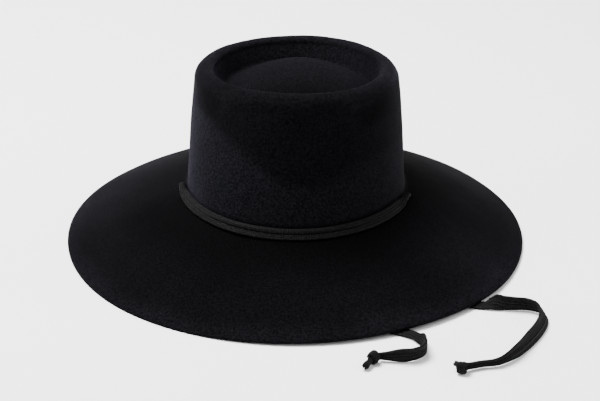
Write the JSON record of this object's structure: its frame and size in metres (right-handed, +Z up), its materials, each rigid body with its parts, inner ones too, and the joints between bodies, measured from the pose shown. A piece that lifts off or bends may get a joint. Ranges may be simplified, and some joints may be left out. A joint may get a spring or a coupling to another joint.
{
  "type": "gaucho hat",
  "caption": "Black felt gaucho hat with a wide round brim, a telescope crown and a flat braided chin strap whose loose ends lie on the surface.",
  "frame": {"origin": "on the surface the brim rests on, under the centre of the brim's oval", "axes": "+Z up, -Y towards the front of the hat, +X towards its right side as seen from the front"},
  "size_m": [0.3714, 0.4225, 0.1431],
  "materials": {
    "felt": "brushed black felt with a short nap",
    "braid": "flat black cotton braid"
  },
  "bodies": {
    "root": {"felt_body": "felt", "front_strap": "braid", "chin_strap_left": "braid", "chin_strap_right": "braid", "knot_left": "braid", "knot_right": "braid"}
  },
  "joints": []
}
